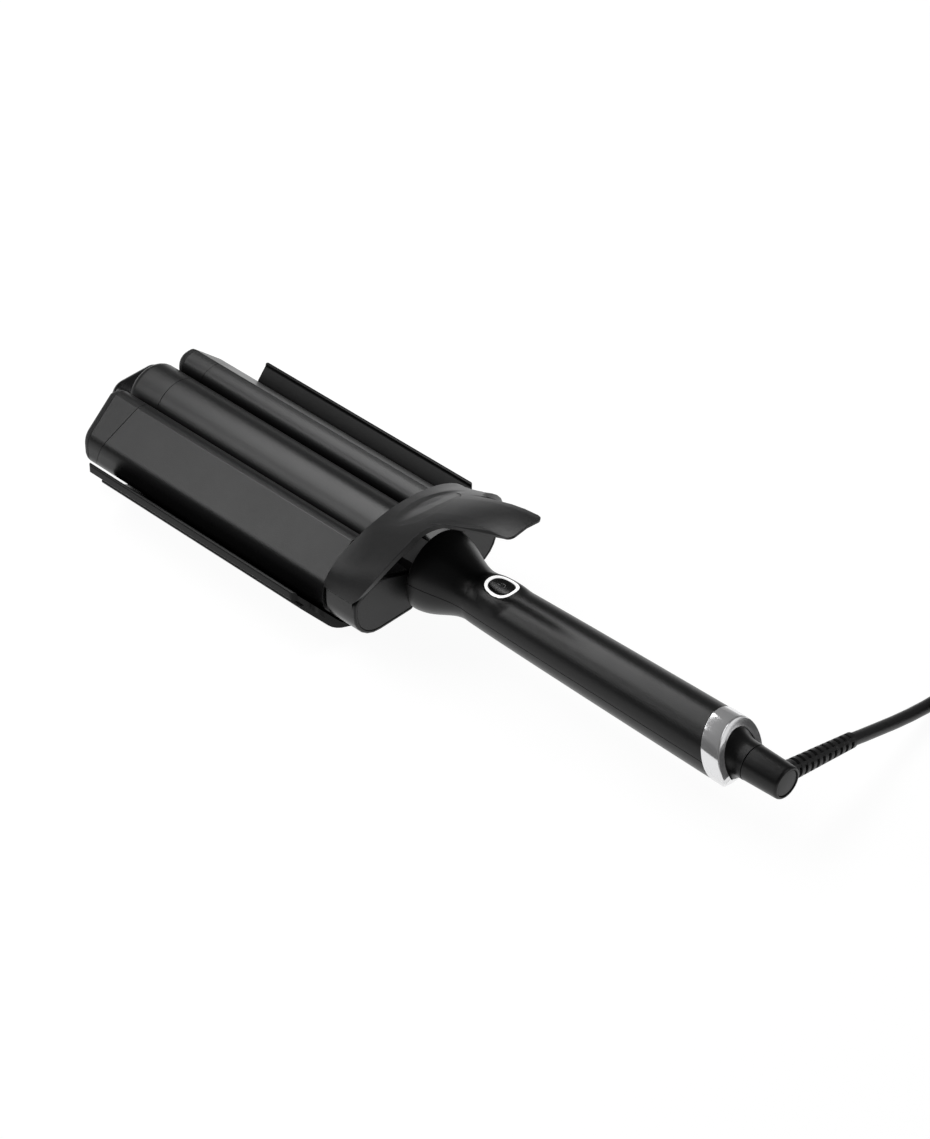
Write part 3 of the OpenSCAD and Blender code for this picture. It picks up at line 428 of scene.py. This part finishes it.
def swivelSocket():
    s = socketLook
    flare = [(s["foot"] + 5.2 * k / 10, s["neckR"] + (s["footR"] - s["neckR"]) * (1 - k / 10) ** 2) for k in range(11)]
    profile = [(s["root"], s["footR"]), (s["foot"] - 0.6, s["footR"])] + flare
    profile += [(s["end"] - 0.15, s["neckR"] - 0.03), (s["end"], s["neckR"] - 0.2),
                (s["end"], s["bore"]), (s["root"], s["bore"])]
    bm = spun(profile, 128)
    for v in bm.verts:
        fade = 1 - smoothStep((v.co.x - s["foot"]) / (s["end"] - s["foot"] - 1))
        v.co.x -= s["lean"] * leanAt(v.co.y, v.co.z) * (fade if v.co.x > 310 else 0)
    return bm


def turningSleeve():
    s = sleeveLook
    rounding = [(s["end"] - s["round"] * (1 - math.sin(a)), s["endR"] - s["round"] * 0.8 * (1 - math.cos(a)))
                for a in (k * math.pi / 12 for k in range(7))]
    profile = [(s["front"], s["bore"]), (s["front"], s["frontR"] - 0.2), (s["front"] + 0.2, s["frontR"])] + rounding
    profile += [(s["end"] - 0.05, s["capR"] + 0.2), (s["end"] - 0.25, s["capR"] + 0.08),
                (s["end"] - s["seat"], s["capR"] + 0.08),
                (s["end"] - s["seat"], s["bore"])]
    return spun(profile, 128)


dress(toPiece(brightRing(), "brightRing", 30), "handle", chrome, "chrome", "end_ring")
dress(toPiece(swivelSocket(), "swivelFoot", 35), "handle", socketBlack, "gloss_trim", "swivel_socket")
dress(toPiece(turningSleeve(), "turningSleeve", 35), "cord_swivel", socketBlack, "gloss_trim", "swivel_sleeve")
discProfile = ((sleeveLook["seat"], 0.001), (sleeveLook["seat"], 5.7), (0.55, 5.7), (0.38, 5.5), (0.32, 5.0),
               (0.3, 0.001))
disc = spun([(sleeveLook["end"] - depth, r) for depth, r in discProfile], 96)
dress(toPiece(disc, "endDisc", 35), "cord_swivel", socketBlack, "gloss_trim", "swivel_cap")
print("ring and swivel made")

# Lever: a copy with its quads joined and its edges broken
lever = softened("lever_arch", "leverArch", 32, True)
addBevel(lever, 0.3, 2, 32)
dress(lever, "jaw", leverTouch, "soft_touch", "lever_arch")

# Housings, barrels, tips and plate: copies with their edges broken
softEdges = (
    # node, piece, body, finish, slot, edge width
    ("left_pod", "farHousing", "jaw", housingBlack, "soft_touch", 0.35),
    ("right_pod", "nearHousing", "jaw", housingBlack, "soft_touch", 0.35),
    ("left_pod_cover", "farHousingCover", "jaw", podCoverTouch, "soft_touch", 0.2),
    ("right_pod_cover", "nearHousingCover", "jaw", podCoverTouch, "soft_touch", 0.2),
    ("left_spacer", "farSpacer", "jaw", glossTrim, "gloss_trim", 0.2),
    ("right_spacer", "nearSpacer", "jaw", glossTrim, "gloss_trim", 0.2),
    ("left_barrel", "farBarrel", "jaw", barrelCoat, "barrel_coat", 0.15),
    ("right_barrel", "nearBarrel", "jaw", barrelCoat, "barrel_coat", 0.15),
    ("left_cool_tip", "farCoolTip", "jaw", tipPlastic, "cool_tip", 0.15),
    ("right_cool_tip", "nearCoolTip", "jaw", tipPlastic, "cool_tip", 0.15),
    ("left_tip_cap", "farTipCap", "jaw", tipRim, "cool_tip", 0.15),
    ("right_tip_cap", "nearTipCap", "jaw", tipRim, "cool_tip", 0.15),
    ("centre_barrel", "centreBarrel", "handle", barrelCoat, "barrel_coat", 0.15),
    ("centre_cool_tip", "centreCoolTip", "handle", tipPlastic, "cool_tip", 0.15),
    ("centre_collar", "centreCollar", "handle", glossTrim, "gloss_trim", 0.2),
    ("jaw_nose", "nosePiece", "handle", glossTrim, "gloss_trim", 0.2),
    ("jaw_plate", "wingedPlate", "handle", plateBlack, "gloss_trim", 0.3),
    ("jaw_cover", "plateCover", "handle", structure, "structure", 0.4),
)
for node, name, body, material, slotName, width in softEdges:
    dress(addBevel(softened(node, name, 30), width, 2), body, material, slotName, node)
print("jaws made")

# Pieces that keep their CAD shape
plainFinish = {
    "jaw_frame": structure, "hinge_pin": darkSteel, "jaw_screws": steel, "centre_heater": ceramic, "left_heater": ceramic,
    "right_heater": ceramic, "circuit_board": boardGreen, "board_screws": steel, "button_switch": steel,
    "contact_block": contactResin, "closing_springs": darkSteel, "pod_screws": steel, "swivel_spindle": steel,
    "plug_pins": pinPlating,
}
for name, material in plainFinish.items():
    nodes[name].data.materials.clear()
    nodes[name].data.materials.append(material)
print("inner pieces finished")

# Floor: white to the camera and in reflections, matt to other rays, so that its shadow stays soft
floorLook = {"half": 6.0, "glow": 0.95, "white": 0.09}
bm = bmesh.new()
bmesh.ops.create_grid(bm, x_segments=2, y_segments=2, size=floorLook["half"])
floor = toPiece(bm, "floor", 30, False)
paper = bpy.data.materials.new("studio floor")
paper.use_nodes = True
tree = paper.node_tree
tree.nodes.clear()
seen = newNode(tree, "ShaderNodeLightPath")
both = newNode(tree, "ShaderNodeMath", operation="ADD", use_clamp=True)
every = newNode(tree, "ShaderNodeMath", operation="ADD", use_clamp=True)
tree.links.new(seen.outputs["Is Camera Ray"], both.inputs[0])
tree.links.new(seen.outputs["Is Glossy Ray"], both.inputs[1])
tree.links.new(both.outputs[0], every.inputs[0])
tree.links.new(seen.outputs["Is Transmission Ray"], every.inputs[1])
matt = newNode(tree, "ShaderNodeBsdfDiffuse")
matt.inputs["Color"].default_value = (0.75, 0.75, 0.75, 1)
faint = newNode(tree, "ShaderNodeBsdfDiffuse")
faint.inputs["Color"].default_value = (floorLook["white"],) * 3 + (1,)
glow = newNode(tree, "ShaderNodeEmission")
glow.inputs["Strength"].default_value = floorLook["glow"]
white = newNode(tree, "ShaderNodeAddShader")
choose = newNode(tree, "ShaderNodeMixShader")
out = newNode(tree, "ShaderNodeOutputMaterial")
tree.links.new(faint.outputs[0], white.inputs[0])
tree.links.new(glow.outputs[0], white.inputs[1])
tree.links.new(every.outputs[0], choose.inputs["Fac"])
tree.links.new(matt.outputs[0], choose.inputs[1])
tree.links.new(white.outputs[0], choose.inputs[2])
tree.links.new(choose.outputs[0], out.inputs["Surface"])
floor.data.materials.append(paper)

# World: brightest at the horizon, dimmer above, with a dark patch meant for the bright ring
world = bpy.data.worlds.new("studio")
scene.world = world
world.use_nodes = True
tree = world.node_tree
tree.nodes.clear()
seen = newNode(tree, "ShaderNodeLightPath")
way = newNode(tree, "ShaderNodeTexCoord")
split = newNode(tree, "ShaderNodeSeparateXYZ")
height = newNode(tree, "ShaderNodeMapRange")
height.inputs["From Min"].default_value, height.inputs["From Max"].default_value = 0.0, 0.35
height.inputs["To Min"].default_value, height.inputs["To Max"].default_value = 0.5, 0.12
pick = newNode(tree, "ShaderNodeMix", data_type="FLOAT")
air = newNode(tree, "ShaderNodeBackground")
out = newNode(tree, "ShaderNodeOutputWorld")
tree.links.new(way.outputs["Generated"], split.inputs[0])
tree.links.new(split.outputs["Z"], height.inputs["Value"])
side = newNode(tree, "ShaderNodeVectorMath", operation="DOT_PRODUCT")
side.inputs[1].default_value = (-0.54, -0.83, 0.12)
shade = newNode(tree, "ShaderNodeMapRange")
shade.inputs["From Min"].default_value, shade.inputs["From Max"].default_value = 0.86, 0.95
shade.inputs["To Min"].default_value, shade.inputs["To Max"].default_value = 1.0, 0.08
level = newNode(tree, "ShaderNodeMath", operation="MULTIPLY")
tree.links.new(way.outputs["Generated"], side.inputs[0])
tree.links.new(side.outputs["Value"], shade.inputs["Value"])
tree.links.new(height.outputs["Result"], level.inputs[0])
tree.links.new(shade.outputs["Result"], level.inputs[1])
tree.links.new(seen.outputs["Is Camera Ray"], pick.inputs["Factor"])
tree.links.new(level.outputs[0], pick.inputs["A"])
pick.inputs["B"].default_value = 1
tree.links.new(pick.outputs["Result"], air.inputs["Strength"])
tree.links.new(air.outputs[0], out.inputs["Surface"])

lamps = {
    "overhead": {"place": (-0.42, 0.02, 0.66), "aim": (0.0, 0.0, 0.03), "size": (0.8, 0.34), "power": 5.0},
    "leftFront": {"place": (-0.62, -0.62, 0.55), "aim": (-0.09, -0.03, 0.03), "size": (0.4, 0.36), "power": 2.0},
    "right": {"place": (0.9, 0.5, 0.7), "aim": (0.1, 0.0, 0.03), "size": (0.5, 0.5), "power": 1.6},
}
for name, look in lamps.items():
    data = bpy.data.lights.new(name, "AREA")
    data.shape = "RECTANGLE"
    data.size, data.size_y = look["size"]
    data.energy = look["power"]
    lamp = bpy.data.objects.new(name, data)
    scene.collection.objects.link(lamp)
    lamp.location = look["place"]
    lamp.rotation_euler = (Vector(look["aim"]) - lamp.location).to_track_quat("-Z", "Y").to_euler()
scene.view_settings.view_transform = "Standard"
print("light set")
